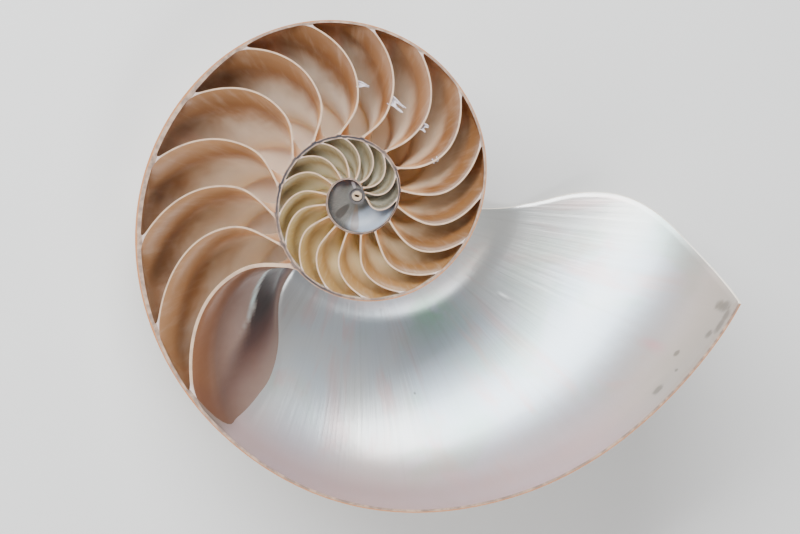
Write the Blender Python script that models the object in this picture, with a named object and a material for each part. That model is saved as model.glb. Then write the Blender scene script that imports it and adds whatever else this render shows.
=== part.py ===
# One half of a chambered nautilus shell, sawn through its middle plane.
# Worked out in millimetres with the cut face level at z = 0 and the shell hanging below it,
# then turned into the pose in which the half rests on its rounded side.

import math

import bmesh
import bpy
import numpy as np
from mathutils import Matrix

# Size and growth
tipAngle = 1064.3
growthStep = 30.0
firstKnot = 60.0
# Outer radius every 30 degrees of growth, from 60 degrees to 1050 degrees
firstWhorl = [2.87, 4.2, 5.7, 7.15, 8.25, 9.3, 10.0, 10.45, 10.75, 11.05, 11.7]
secondWhorl = [12.9, 14.4, 16.2, 18.2, 20.0, 22.0, 24.3, 26.7, 28.6, 30.4, 32.2, 34.8]
thirdWhorl = [38.7, 43.1, 47.5, 51.3, 54.7, 59.6, 66.1, 74.7, 84.9, 93.5, 102.8]
tipRadius = 109.0
lipRadius = 122.0
lipKnot = 1100.0
nucleusRadius = 2.2

# Section of a whorl, as shares of its outer radius
widestAt = 0.42
halfWidth = 0.37
seamShare = 0.36
callusGrow = 1.04
funnelPower = 1.3

# Thickness of the outer wall along the growth angle
wallAngles = [0.0, 360.0, 400.0, 560.0, 720.0, 840.0, 865.0, 920.0, 950.0, 1000.0, 1064.3]
wallThick = [0.45, 0.5, 0.9, 1.05, 0.75, 0.75, 1.6, 1.6, 1.0, 0.9, 0.8]

# Septa, youngest first: angle of the outer end, sag in the middle, offset of the inner end
septa = [
    (951.0, 18.5, -3.0), (934.2, 20.5, -1.0), (912.0, 16.3, 2.0), (890.3, 14.5, 3.0),
    (869.0, 17.5, 2.0), (848.1, 17.5, 2.0), (826.2, 16.8, 1.0), (805.4, 15.2, 0.0),
    (786.9, 19.8, -9.0), (765.7, 21.5, -10.0), (743.8, 22.8, -16.0), (721.0, 22.8, -15.0),
    (698.1, 21.5, -15.0), (677.3, 23.2, -20.0), (656.0, 22.5, -20.0), (634.6, 21.2, -20.0),
    (612.7, 20.0, -18.0), (594.2, 21.0, -18.0), (574.6, 22.0, -19.0), (554.5, 20.5, -17.0),
    (529.6, 18.5, -15.0), (506.5, 18.0, -14.0), (484.6, 17.5, -12.0), (462.2, 17.5, -7.0),
    (440.8, 21.5, -2.0), (417.7, 27.0, -1.0), (388.8, 26.0, 0.0), (357.7, 34.0, 0.0),
]
# Where across the septum the sag is deepest, and how it rises inward and fades downward
sagAt = 0.38
sagPower = 2.4
sagFade = 1.6
firstChamberStart = 62.0
lastSeptumThick = 0.95
septumThick = 0.48
innerSeptumThick = 0.32
middleSeptumThick = 0.4
slantLimit = 2.0

# How far the septum edge runs ahead on the side wall, by share of the way round the section
sutureAt = np.array([0.0, 0.06, 0.12, 0.26, 0.48, 0.6, 0.75, 0.94, 1.15, 1.4])
sutureAhead = np.array([0.0, 5.5, 8.5, 9.8, 11.5, 12.0, 9.0, -3.0, -6.0, -7.0])

# How far the lip runs ahead of its middle, by share of the way from the keel to the navel
lipAt = np.array([0.0, 0.1, 0.2, 0.26, 0.316, 0.38, 0.443, 0.48, 0.521, 0.573, 0.64, 0.7, 0.8, 1.0])
lipAhead = np.array([0.0, 1.45, 3.95, 6.05, 8.55, 12.2, 15.5, 16.9, 17.65, 17.5, 15.0, 12.9, 11.3, 9.0])

# Mesh counts
outsideColumns = 54
sectionRows = 15
hubRows = 2
bodyColumns = 15
faceRows = 8

# Resting pose, turned about Y and then about X, in degrees
restTiltX = -2.66
restTiltY = -13.75


def hermite(x, knots, values):
    """Smooth curve through the knots, with slopes taken from the neighbours."""
    x = np.asarray(x, float)
    slopes = np.gradient(values, knots)
    i = np.clip(np.searchsorted(knots, x) - 1, 0, len(knots) - 2)
    h = knots[i + 1] - knots[i]
    t = (x - knots[i]) / h
    start = (2 * t**3 - 3 * t**2 + 1) * values[i] + (t**3 - 2 * t**2 + t) * h * slopes[i]
    end = (-2 * t**3 + 3 * t**2) * values[i + 1] + (t**3 - t**2) * h * slopes[i + 1]
    return start + end


ringRadii = firstWhorl + secondWhorl + thirdWhorl
ringKnots = [firstKnot + growthStep * i for i in range(len(ringRadii))]
spiralKnots = np.array(ringKnots + [tipAngle, lipKnot])
spiralLogs = np.log(np.array(ringRadii + [tipRadius, lipRadius]))


def spiralRadius(a):
    """Outer radius at growth angle a: the logarithm is smooth through the measured values."""
    a = np.asarray(a, float)
    grown = np.exp(hermite(np.maximum(a, firstKnot), spiralKnots, spiralLogs))
    nucleus = np.maximum(nucleusRadius, firstWhorl[0] * np.exp((a - firstKnot) * 0.012))
    return np.where(a < firstKnot, nucleus, grown)


def wallAt(a):
    """Thickness of the outer wall at growth angle a."""
    return np.interp(a, wallAngles, wallThick)


def smoothStep(x):
    x = np.clip(x, 0.0, 1.0)
    return x * x * (3.0 - 2.0 * x)


def outsideDepth(r, a):
    """Depth of the outside: an ellipse from keel to flank, then a shallow funnel to the navel."""
    radius = spiralRadius(a)
    centre = widestAt * radius
    wide = halfWidth * radius
    across = np.clip((r - centre) / (radius - centre), 0.0, 1.0)
    flank = wide * np.sqrt(1.0 - across**2)
    navel = callusGrow * halfWidth * spiralRadius(np.minimum(a, tipAngle - 360.0))
    funnel = navel + (wide - navel) * smoothStep(np.clip(r / centre, 0.0, 1.0)**funnelPower)
    return np.where(r > centre, flank, funnel)


def seamRadius(a):
    """Radius at which the next whorl's hollow ends against whorl a."""
    return seamShare * spiralRadius(np.minimum(a, tipAngle - 360.0))


def turnShare(a, seam):
    """Share of the section's length that lies between the keel and the widest place."""
    radius = spiralRadius(a)
    quarter = 0.764 * radius
    inward = np.hypot(widestAt * radius - seam, halfWidth * radius - outsideDepth(seam, a))
    return quarter / (quarter + inward)


def outsidePoint(a, u):
    """Radius and height on the outside of whorl a, u = 0 at the keel and 1 at the seam."""
    radius = spiralRadius(a)
    centre = widestAt * radius
    seam = seamRadius(a)
    share = turnShare(a, seam)
    angle = 0.5 * math.pi * np.minimum(u / share, 1.0)
    inward = np.clip((u - share) / (1.0 - share), 0.0, 1.0)
    r = centre + (radius - centre) * np.cos(angle)
    r = np.where(u > share, centre + (seam - centre) * inward, r)
    z = np.where(u > share, -outsideDepth(r, a), -halfWidth * radius * np.sin(angle))
    return r, z


def wallPoint(a, u):
    """Radius and height on the inner face of the wall of whorl a, closing on the seam."""
    radius = spiralRadius(a)
    thick = wallAt(a)
    centre = widestAt * radius
    seam = seamRadius(a - 360.0)
    share = turnShare(a, seam)
    angle = 0.5 * math.pi * np.minimum(u / share, 1.0)
    inward = np.clip((u - share) / (1.0 - share), 0.0, 1.0)
    r = centre + (radius - centre - thick) * np.cos(angle)
    r = np.where(u > share, centre + (seam - centre) * inward, r)
    closing = outsideDepth(seam, a) - outsideDepth(seam, a - 360.0)
    fill = 1.0 - np.sqrt(1.0 - inward**2.5)
    deep = outsideDepth(r, a) - thick - (closing - thick) * fill
    z = np.where(u > share, -deep, -(halfWidth * radius - thick) * np.sin(angle))
    return r, z


def hollowPoint(a, s, u):
    """Point in the hollow of whorl a: s = 0 on the whorl inside it, s = 1 on its own wall."""
    r0, z0 = outsidePoint(a - 360.0, u)
    r1, z1 = wallPoint(a, u)
    return r0 + (r1 - r0) * s, z0 + (z1 - z0) * s


def septumAngle(n, s, u):
    """Growth angle of the middle of septum n: a dish that sags away from the opening."""
    outerEnd, sag, innerEnd = septa[n]
    beyond = np.clip((s - sagAt) / (1.0 - sagAt), 0.0, 1.0)
    before = np.clip((sagAt - s) / sagAt, 0.0, 1.0)
    dish = -sag * (1.0 - beyond**2) + (sag + innerEnd) * before**sagPower
    share = turnShare(outerEnd, seamRadius(outerEnd - 360.0))
    end = -6.0 + 0.5 * innerEnd
    ahead = hermite(np.clip(u / share, 0.0, 1.4), sutureAt, sutureAhead)
    reach = smoothStep((u - share) / (1.0 - share))
    ahead = ahead + (end - ahead) * reach
    return outerEnd + dish * (1.0 - u**sagFade) + (ahead - end * reach) * s + end * reach


def septumSize(n):
    if n == 0:
        return lastSeptumThick
    sizes = [innerSeptumThick, middleSeptumThick, septumThick]
    return float(np.interp(septa[n][0], [360.0, 560.0, 740.0], sizes))


def septumFace(n, side, s, u):
    """Face of septum n: side = 1 towards the opening, -1 away from it, at its true thickness."""
    a = septumAngle(n, s, u)
    r, z = hollowPoint(a, s, u)
    step = 0.01
    sLow = np.maximum(s - step, 0.0)
    sHigh = np.minimum(s + step, 1.0)
    uLow = np.maximum(u - step, 0.0)
    uHigh = np.minimum(u + step, 1.0)
    rs = [hollowPoint(a, q, u) for q in (sLow, sHigh)]
    ru = [hollowPoint(a, s, q) for q in (uLow, uHigh)]
    drs, dzs = rs[1][0] - rs[0][0], rs[1][1] - rs[0][1]
    dru, dzu = ru[1][0] - ru[0][0], ru[1][1] - ru[0][1]
    das = np.radians(septumAngle(n, sHigh, u) - septumAngle(n, sLow, u))
    dau = np.radians(septumAngle(n, s, uHigh) - septumAngle(n, s, uLow))
    area = drs * dzu - dru * dzs
    area = np.where(np.abs(area) < 1e-9, 1e-9, area)
    slopeR = r * (das * dzu - dau * dzs) / area
    slopeZ = r * (dau * drs - das * dru) / area
    slant = np.minimum(np.sqrt(1.0 + slopeR**2 + (slopeZ * u)**2), slantLimit)
    return a + side * np.degrees(0.5 * septumSize(n) * slant / np.maximum(r, 1.2))


def spin(a, r, z):
    """Points at growth angle a, radius r and height z."""
    turn = np.radians(a)
    return np.stack([r * np.cos(turn), r * np.sin(turn), z + 0.0 * r], axis=-1)


def grid(points, faces, sheet):
    """Adds a sheet of points, rows by columns, as four-sided faces."""
    rows, columns = sheet.shape[:2]
    start = len(points)
    points.extend(sheet.reshape(-1, 3).tolist())
    for i in range(rows - 1):
        for j in range(columns - 1):
            k = start + i * columns + j
            faces.append((k, k + 1, k + columns + 1, k + columns))


def zipLines(points, faces, left, right, leftKeys, rightKeys):
    """Fills the band between two lines of points, walking along both by their keys."""
    start = len(points)
    points.extend(left.tolist())
    points.extend(right.tolist())
    other = start + len(left)
    i = 0
    j = 0
    while i < len(left) - 1 or j < len(right) - 1:
        stepLeft = j == len(right) - 1
        if not stepLeft and i < len(left) - 1:
            stepLeft = leftKeys[i + 1] <= rightKeys[j + 1]
        if stepLeft:
            faces.append((start + i, start + i + 1, other + j))
            i += 1
        else:
            faces.append((start + i, other + j + 1, other + j))
            j += 1


def spread(low, high, count):
    """Rows between two columns of angles, evenly stepped."""
    t = np.linspace(0.0, 1.0, count + 1)[:, None]
    return low[None, :] * (1.0 - t) + high[None, :] * t


def chamberCounts(n):
    """Rows down, rows across and columns along the walls, fewer in the small chambers."""
    if n < 12:
        return 6, 9, 3
    if n < 20:
        return 5, 7, 2
    return 4, 5, 2


def shareRows(count):
    return np.linspace(0.0, 1.0, count + 1)


def acrossRows(count):
    """Rows across a septum, closer together near the inner wall where it bends most."""
    t = np.linspace(0.0, 1.0, count + 1)
    return t**1.25


def addChamber(points, faces, n):
    """Skin of the hollow behind septum n; the first chamber begins at the nucleus."""
    deep, across, along = chamberCounts(n)
    u = shareRows(deep)
    s = acrossRows(across)
    sGrid, uGrid = np.meshgrid(s, u, indexing="ij")
    front = septumFace(n, -1.0, sGrid, uGrid)
    first = n == len(septa) - 1
    if first:
        back = np.full_like(front, firstChamberStart)
        along = 12
    else:
        back = septumFace(n + 1, 1.0, sGrid, uGrid)
    lines = {}
    for name, angles in (("front", front), ("back", back)):
        r, z = hollowPoint(angles, sGrid, uGrid)
        sheet = spin(angles, r, z)
        grid(points, faces, sheet)
        lines[name] = (sheet[:, 0], angles[:, 0])
    for name, row in (("outer", -1), ("inner", 0)):
        angles = spread(back[row], front[row], along)
        r, z = hollowPoint(angles, float(s[row]), u[None, :])
        sheet = spin(angles, r, z)
        grid(points, faces, sheet)
        lines[name] = (sheet[:, 0], angles[:, 0])
    lines["across"] = s
    return lines


def lipLead(u):
    return hermite(u, lipAt, lipAhead)


def addBody(points, faces):
    """Outside, lip and living chamber, closed at the back by the youngest septum."""
    u = shareRows(sectionRows)
    s = acrossRows(faceRows)
    lead = lipLead(u)
    sGrid, uGrid = np.meshgrid(s, u, indexing="ij")
    last = septumFace(0, 1.0, sGrid, uGrid)
    r, z = hollowPoint(last, sGrid, uGrid)
    septum = spin(last, r, z)
    grid(points, faces, septum)
    inside = spread(last[-1], tipAngle + lead, bodyColumns)
    wall = spin(inside, *wallPoint(inside, u[None, :]))
    grid(points, faces, wall)
    under = spread(last[0] - 360.0, tipAngle - 360.0 + lead, bodyColumns)
    back = spin(under, *outsidePoint(under, u[None, :]))
    grid(points, faces, back)
    outer = spread(tipAngle - 360.0 + lead, tipAngle + lead, outsideColumns)
    outside = spin(outer, *outsidePoint(outer, u[None, :]))
    grid(points, faces, outside)
    grid(points, faces, np.stack([outside[-1], wall[-1]]))
    hubAngles = outer[:, -1]
    rows = np.linspace(1.0, 0.0, hubRows + 1)
    radii = seamRadius(tipAngle)[None] * rows
    hubR = np.tile(radii[None, :], (len(hubAngles), 1))
    hubA = np.tile(hubAngles[:, None], (1, len(radii)))
    hub = spin(hubA, hubR, -outsideDepth(hubR, hubA))
    grid(points, faces, hub)
    grid(points, faces, np.stack([hub[-1], hub[0]]))
    keel = np.concatenate([back[:-1, 0], outside[:, 0]])
    keelKeys = np.concatenate([under[:-1, 0], outer[:, 0]])
    return (septum[:, 0], s), (wall[:, 0], inside[:, 0]), (keel, keelKeys)


def addCutFace(points, faces, chambers, body):
    """Sawn face: the spiral band of the wall, a strip for each septum, a fan at the nucleus."""
    (bodyFront, bodyAcross), (bodyWall, bodyKeys), (keel, keelKeys) = body
    oldest = chambers[::-1]
    innerLine = np.concatenate([c["outer"][0] for c in oldest] + [bodyWall])
    innerKeys = np.concatenate([c["outer"][1] for c in oldest] + [bodyKeys])
    outerLine = np.concatenate([c["inner"][0] for c in oldest[1:]] + [keel])
    outerKeys = np.concatenate([c["inner"][1] - 360.0 for c in oldest[1:]] + [keelKeys])
    start = int(np.argmin(np.abs(outerKeys - firstChamberStart)))
    zipLines(points, faces, innerLine, outerLine[start:], innerKeys, outerKeys[start:])
    for n in range(len(septa)):
        behind = chambers[n]["front"][0]
        behindKeys = chambers[n]["across"]
        ahead = bodyFront if n == 0 else chambers[n - 1]["back"][0]
        aheadKeys = bodyAcross if n == 0 else chambers[n - 1]["across"]
        zipLines(points, faces, behind, ahead, behindKeys, aheadKeys)
    ring = np.concatenate([outerLine[:start + 1], oldest[0]["back"][0][::-1], oldest[0]["inner"][0][1:]])
    centre = len(points)
    points.append([0.0, 0.0, 0.0])
    points.extend(ring.tolist())
    for i in range(len(ring)):
        faces.append((centre, centre + 1 + i, centre + 1 + (i + 1) % len(ring)))


def buildShell():
    points = []
    faces = []
    chambers = [addChamber(points, faces, n) for n in range(len(septa))]
    body = addBody(points, faces)
    addCutFace(points, faces, chambers, body)
    mesh = bpy.data.meshes.new("shell_half")
    mesh.from_pydata([[0.001 * c for c in p] for p in points], [], faces)
    work = bmesh.new()
    work.from_mesh(mesh)
    bmesh.ops.remove_doubles(work, verts=work.verts, dist=0.000002)
    bmesh.ops.dissolve_degenerate(work, edges=work.edges, dist=0.000001)
    bmesh.ops.triangulate(work, faces=work.faces)
    bmesh.ops.recalc_face_normals(work, faces=work.faces)
    work.to_mesh(mesh)
    work.free()
    return mesh


def restPose():
    """Turn that brings the half from cut face level to its own resting place."""
    aboutX = Matrix.Rotation(math.radians(restTiltX), 4, "X")
    aboutY = Matrix.Rotation(math.radians(restTiltY), 4, "Y")
    return aboutX @ aboutY


def nacre():
    material = bpy.data.materials.new("nacre")
    material.use_nodes = True
    shader = material.node_tree.nodes["Principled BSDF"]
    shader.inputs["Base Color"].default_value = (0.72, 0.62, 0.52, 1.0)
    shader.inputs["Roughness"].default_value = 0.3
    return material


def main():
    for item in list(bpy.data.objects):
        bpy.data.objects.remove(item, do_unlink=True)
    mesh = buildShell()
    mesh.transform(restPose())
    corners = np.array([v.co[:] for v in mesh.vertices])
    middle = 0.5 * (corners.min(axis=0) + corners.max(axis=0))
    lowest = corners[:, 2].min()
    mesh.transform(Matrix.Translation((-middle[0], -middle[1], -lowest)))
    for face in mesh.polygons:
        face.use_smooth = True
    shell = bpy.data.objects.new("shell_half", mesh)
    shell.data.materials.append(nacre())
    bpy.context.scene.collection.objects.link(shell)


main()
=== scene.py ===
import math

import bmesh
import bpy
import numpy as np
from mathutils import Matrix, Vector


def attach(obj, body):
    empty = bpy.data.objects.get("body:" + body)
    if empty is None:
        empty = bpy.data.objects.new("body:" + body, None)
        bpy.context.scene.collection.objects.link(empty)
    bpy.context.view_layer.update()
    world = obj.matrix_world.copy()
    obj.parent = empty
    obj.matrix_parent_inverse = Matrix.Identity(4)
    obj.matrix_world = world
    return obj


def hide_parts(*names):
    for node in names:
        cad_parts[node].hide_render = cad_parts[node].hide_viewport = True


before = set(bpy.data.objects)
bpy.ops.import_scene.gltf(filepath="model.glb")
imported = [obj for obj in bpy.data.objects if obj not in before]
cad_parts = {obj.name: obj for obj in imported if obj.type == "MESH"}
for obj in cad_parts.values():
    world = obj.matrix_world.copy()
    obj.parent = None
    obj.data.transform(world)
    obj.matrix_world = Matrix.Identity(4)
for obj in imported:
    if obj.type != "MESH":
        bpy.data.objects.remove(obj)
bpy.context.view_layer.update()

# Shape of the shell: all lengths in millimetres, with the cut face level at z = 0
shape = {
    "tipAngle": 1064.3,
    "tipRadius": 109.0,
    "pastAngle": 1100.0,
    "pastRadius": 122.0,
    "firstKnot": 60.0,
    "knotStep": 30.0,
    "nucleus": 2.2,
    "nucleusGrow": 0.012,
    "widestAt": 0.42,
    "halfWidth": 0.37,
    "quarterLength": 0.764,
    "seamShare": 0.36,
    "closingPower": 2.5,
    "callusGrow": 1.04,
    "funnelPower": 1.3,
    "firstChamber": 62.0,
}
# outer radius every 30 degrees of growth, then at the tip and past it
ringRadii = [2.87, 4.2, 5.7, 7.15, 8.25, 9.3, 10.0, 10.45, 10.75, 11.05, 11.7,
             12.9, 14.4, 16.2, 18.2, 20.0, 22.0, 24.3, 26.7, 28.6, 30.4, 32.2, 34.8,
             38.7, 43.1, 47.5, 51.3, 54.7, 59.6, 66.1, 74.7, 84.9, 93.5, 102.8]
spiralKnots = np.array([shape["firstKnot"] + shape["knotStep"] * i for i in range(len(ringRadii))]
                       + [shape["tipAngle"], shape["pastAngle"]])
spiralLogs = np.log(np.array(ringRadii + [shape["tipRadius"], shape["pastRadius"]]))
wallAngles = [0.0, 360.0, 400.0, 560.0, 720.0, 840.0, 865.0, 920.0, 950.0, 1000.0, 1064.3]
wallThick = [0.45, 0.5, 0.9, 1.05, 0.75, 0.75, 1.6, 1.6, 1.0, 0.9, 0.8]
# each septum, youngest first: outer end, sag in the middle, offset of the inner end, in degrees
septa = [
    (951.0, 18.5, -3.0), (934.2, 20.5, -1.0), (912.0, 16.3, 2.0), (890.3, 14.5, 3.0),
    (869.0, 17.5, 2.0), (848.1, 17.5, 2.0), (826.2, 16.8, 1.0), (805.4, 15.2, 0.0),
    (786.9, 19.8, -9.0), (765.7, 21.5, -10.0), (743.8, 22.8, -16.0), (721.0, 22.8, -15.0),
    (698.1, 21.5, -15.0), (677.3, 23.2, -20.0), (656.0, 22.5, -20.0), (634.6, 21.2, -20.0),
    (612.7, 20.0, -18.0), (594.2, 21.0, -18.0), (574.6, 22.0, -19.0), (554.5, 20.5, -17.0),
    (529.6, 18.5, -15.0), (506.5, 18.0, -14.0), (484.6, 17.5, -12.0), (462.2, 17.5, -7.0),
    (440.8, 21.5, -2.0), (417.7, 27.0, -1.0), (388.8, 26.0, 0.0), (357.7, 34.0, 0.0),
]
septumShape = {"sagAt": 0.38, "sagPower": 2.4, "fade": 1.6, "navelEnd": -6.0, "slantLimit": 2.0}
septumThick = {"youngest": 0.95, "at": [360.0, 560.0, 740.0], "size": [0.32, 0.4, 0.48]}
septumSlope = {"step": 0.01, "leastArea": 1e-9, "leastRadius": 1.2}
sutureAt = np.array([0.0, 0.06, 0.12, 0.26, 0.48, 0.6, 0.75, 0.94, 1.15, 1.4])
sutureAhead = np.array([0.0, 5.5, 8.5, 9.8, 11.5, 12.0, 9.0, -3.0, -6.0, -7.0])
lipAt = np.array([0.0, 0.1, 0.2, 0.26, 0.316, 0.38, 0.443, 0.48, 0.521, 0.573, 0.64, 0.7, 0.8, 1.0])
lipAhead = np.array([0.0, 1.45, 3.95, 6.05, 8.55, 12.2, 15.5, 16.9, 17.65, 17.5, 15.0, 12.9, 11.3, 9.0])
# pose: turn about Y, then about X, then the shift that puts the footprint over the origin
pose = {"tiltX": -2.66, "tiltY": -13.75, "shift": (-22.44526, 19.12161, 29.81119)}


# smooth curve through the knots: cubic pieces whose slopes come from the neighbours
def hermite(x, knots, values):
    x = np.asarray(x, float)
    slopes = np.gradient(values, knots)
    i = np.clip(np.searchsorted(knots, x) - 1, 0, len(knots) - 2)
    h = knots[i + 1] - knots[i]
    t = (x - knots[i]) / h
    start = (2 * t**3 - 3 * t**2 + 1) * values[i] + (t**3 - 2 * t**2 + t) * h * slopes[i]
    end = (-2 * t**3 + 3 * t**2) * values[i + 1] + (t**3 - t**2) * h * slopes[i + 1]
    return start + end


def smoothStep(x):
    x = np.clip(x, 0.0, 1.0)
    return x * x * (3.0 - 2.0 * x)


# outer radius at growth angle a: its logarithm is the smooth curve, the nucleus is a small disc
def spiralRadius(a):
    a = np.asarray(a, float)
    grown = np.exp(hermite(np.maximum(a, shape["firstKnot"]), spiralKnots, spiralLogs))
    core = ringRadii[0] * np.exp((a - shape["firstKnot"]) * shape["nucleusGrow"])
    core = np.maximum(shape["nucleus"], core)
    return np.where(a < shape["firstKnot"], core, grown)


def wallAt(a):
    return np.interp(a, wallAngles, wallThick)


# depth of the outside: an ellipse from keel to flank, then a shallow funnel to the navel
def outsideDepth(r, a):
    radius = spiralRadius(a)
    centre = shape["widestAt"] * radius
    wide = shape["halfWidth"] * radius
    across = np.clip((r - centre) / (radius - centre), 0.0, 1.0)
    flank = wide * np.sqrt(1.0 - across**2)
    young = spiralRadius(np.minimum(a, shape["tipAngle"] - 360.0))
    navel = shape["callusGrow"] * shape["halfWidth"] * young
    slope = smoothStep(np.clip(r / centre, 0.0, 1.0)**shape["funnelPower"])
    return np.where(r > centre, flank, navel + (wide - navel) * slope)


def seamRadius(a):
    return shape["seamShare"] * spiralRadius(np.minimum(a, shape["tipAngle"] - 360.0))


# share of the section's length between the keel and its widest place
def turnShare(a, seam):
    radius = spiralRadius(a)
    quarter = shape["quarterLength"] * radius
    inward = np.hypot(shape["widestAt"] * radius - seam,
                      shape["halfWidth"] * radius - outsideDepth(seam, a))
    return quarter / (quarter + inward)


# radius and height on the outside of whorl a, from the keel (u = 0) to the seam (u = 1)
def outsidePoint(a, u):
    radius = spiralRadius(a)
    centre = shape["widestAt"] * radius
    seam = seamRadius(a)
    share = turnShare(a, seam)
    angle = 0.5 * math.pi * np.minimum(u / share, 1.0)
    inward = np.clip((u - share) / (1.0 - share), 0.0, 1.0)
    r = centre + (radius - centre) * np.cos(angle)
    r = np.where(u > share, centre + (seam - centre) * inward, r)
    z = np.where(u > share, -outsideDepth(r, a), -shape["halfWidth"] * radius * np.sin(angle))
    return r, z


# the same on the inner face of the wall, which closes on the whorl inside it at the seam
def wallPoint(a, u):
    radius = spiralRadius(a)
    thick = wallAt(a)
    centre = shape["widestAt"] * radius
    seam = seamRadius(a - 360.0)
    share = turnShare(a, seam)
    angle = 0.5 * math.pi * np.minimum(u / share, 1.0)
    inward = np.clip((u - share) / (1.0 - share), 0.0, 1.0)
    r = centre + (radius - centre - thick) * np.cos(angle)
    r = np.where(u > share, centre + (seam - centre) * inward, r)
    closing = outsideDepth(seam, a) - outsideDepth(seam, a - 360.0)
    fill = 1.0 - np.sqrt(1.0 - inward**shape["closingPower"])
    deep = outsideDepth(r, a) - thick - (closing - thick) * fill
    z = np.where(u > share, -deep, -(shape["halfWidth"] * radius - thick) * np.sin(angle))
    return r, z


# point in the hollow of whorl a: straight from the whorl inside (s = 0) to its own wall (s = 1)
def hollowPoint(a, s, u):
    r0, z0 = outsidePoint(a - 360.0, u)
    r1, z1 = wallPoint(a, u)
    return r0 + (r1 - r0) * s, z0 + (z1 - z0) * s


# growth angle of the middle of septum n: a dish sagging away from the opening, its edge running
# ahead on the side wall and back again at the navel
def septumAngle(n, s, u):
    outerEnd, sag, innerEnd = septa[n]
    sagAt = septumShape["sagAt"]
    beyond = np.clip((s - sagAt) / (1.0 - sagAt), 0.0, 1.0)
    before = np.clip((sagAt - s) / sagAt, 0.0, 1.0)
    dish = -sag * (1.0 - beyond**2) + (sag + innerEnd) * before**septumShape["sagPower"]
    share = turnShare(outerEnd, seamRadius(outerEnd - 360.0))
    end = septumShape["navelEnd"] + 0.5 * innerEnd
    ahead = hermite(np.clip(u / share, 0.0, 1.4), sutureAt, sutureAhead)
    reach = smoothStep((u - share) / (1.0 - share))
    ahead = ahead + (end - ahead) * reach
    return outerEnd + dish * (1.0 - u**septumShape["fade"]) + (ahead - end * reach) * s + end * reach


def septumSize(n):
    if n == 0:
        return septumThick["youngest"]
    return float(np.interp(septa[n][0], septumThick["at"], septumThick["size"]))


# growth angle of one face of septum n: half the thickness, stretched by the slant of the dish
def septumFace(n, side, s, u):
    a = septumAngle(n, s, u)
    r, z = hollowPoint(a, s, u)
    step = septumSlope["step"]
    sLow, sHigh = np.maximum(s - step, 0.0), np.minimum(s + step, 1.0)
    uLow, uHigh = np.maximum(u - step, 0.0), np.minimum(u + step, 1.0)
    (r1, z1), (r2, z2) = hollowPoint(a, sLow, u), hollowPoint(a, sHigh, u)
    (r3, z3), (r4, z4) = hollowPoint(a, s, uLow), hollowPoint(a, s, uHigh)
    das = np.radians(septumAngle(n, sHigh, u) - septumAngle(n, sLow, u))
    dau = np.radians(septumAngle(n, s, uHigh) - septumAngle(n, s, uLow))
    area = (r2 - r1) * (z4 - z3) - (r4 - r3) * (z2 - z1)
    area = np.where(np.abs(area) < septumSlope["leastArea"], septumSlope["leastArea"], area)
    slopeR = r * (das * (z4 - z3) - dau * (z2 - z1)) / area
    slopeZ = r * (dau * (r2 - r1) - das * (r4 - r3)) / area
    slant = np.minimum(np.sqrt(1.0 + slopeR**2 + (slopeZ * u)**2), septumShape["slantLimit"])
    half = 0.5 * septumSize(n) * slant / np.maximum(r, septumSlope["leastRadius"])
    return a + side * np.degrees(half)


def spin(a, r, z):
    turn = np.radians(a)
    return np.stack([r * np.cos(turn), r * np.sin(turn), z + 0.0 * r], axis=-1)


# which material slot each kind of sheet takes
kinds = {"outside": 0, "living": 1, "septum": 2, "chamber": 3, "cut": 4, "lip": 0, "core": 4}

# Painted shade and painted highlight on the youngest septum: the line of the fold's edge across the face (at)
# and down it (down)
fold = {
    "at": [0.0, 0.12, 0.325, 0.446, 0.525, 0.604, 0.658, 0.738, 0.787, 0.85, 0.892, 1.0],
    "down": [0.2, 0.22, 0.333, 0.362, 0.375, 0.388, 0.379, 0.329, 0.267, 0.192, 0.096, -0.2],
    "crisp": 0.014, "soft": 0.2, "softFrom": 0.62, "softOver": 0.25, "lead": 0.35,
    "fadeFrom": 0.8, "fadeOver": 0.2, "fadeLeft": 0.25,
    "lineWidth": 0.013, "lineEnd": 0.55, "lineOver": 0.2,
}


# how much painted shade a place gets past the line, 0 to 1, and how far it lies on the painted highlight line
# itself
def foldShadeAndHighlight(s, u):
    past = u - np.interp(s, fold["at"], fold["down"])
    soft = fold["crisp"] + fold["soft"] * smoothStep((s - fold["softFrom"]) / fold["softOver"])
    dark = smoothStep((past + fold["lead"] * soft) / soft)
    fade = 1.0 - smoothStep((s - fold["fadeFrom"]) / fold["fadeOver"])
    pale = np.exp(-((past + fold["lineWidth"]) / fold["lineWidth"])**2)
    pale = pale * (1.0 - smoothStep((s - fold["lineEnd"]) / fold["lineOver"]))
    return dark * (fold["fadeLeft"] + (1.0 - fold["fadeLeft"]) * fade), pale


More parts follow.
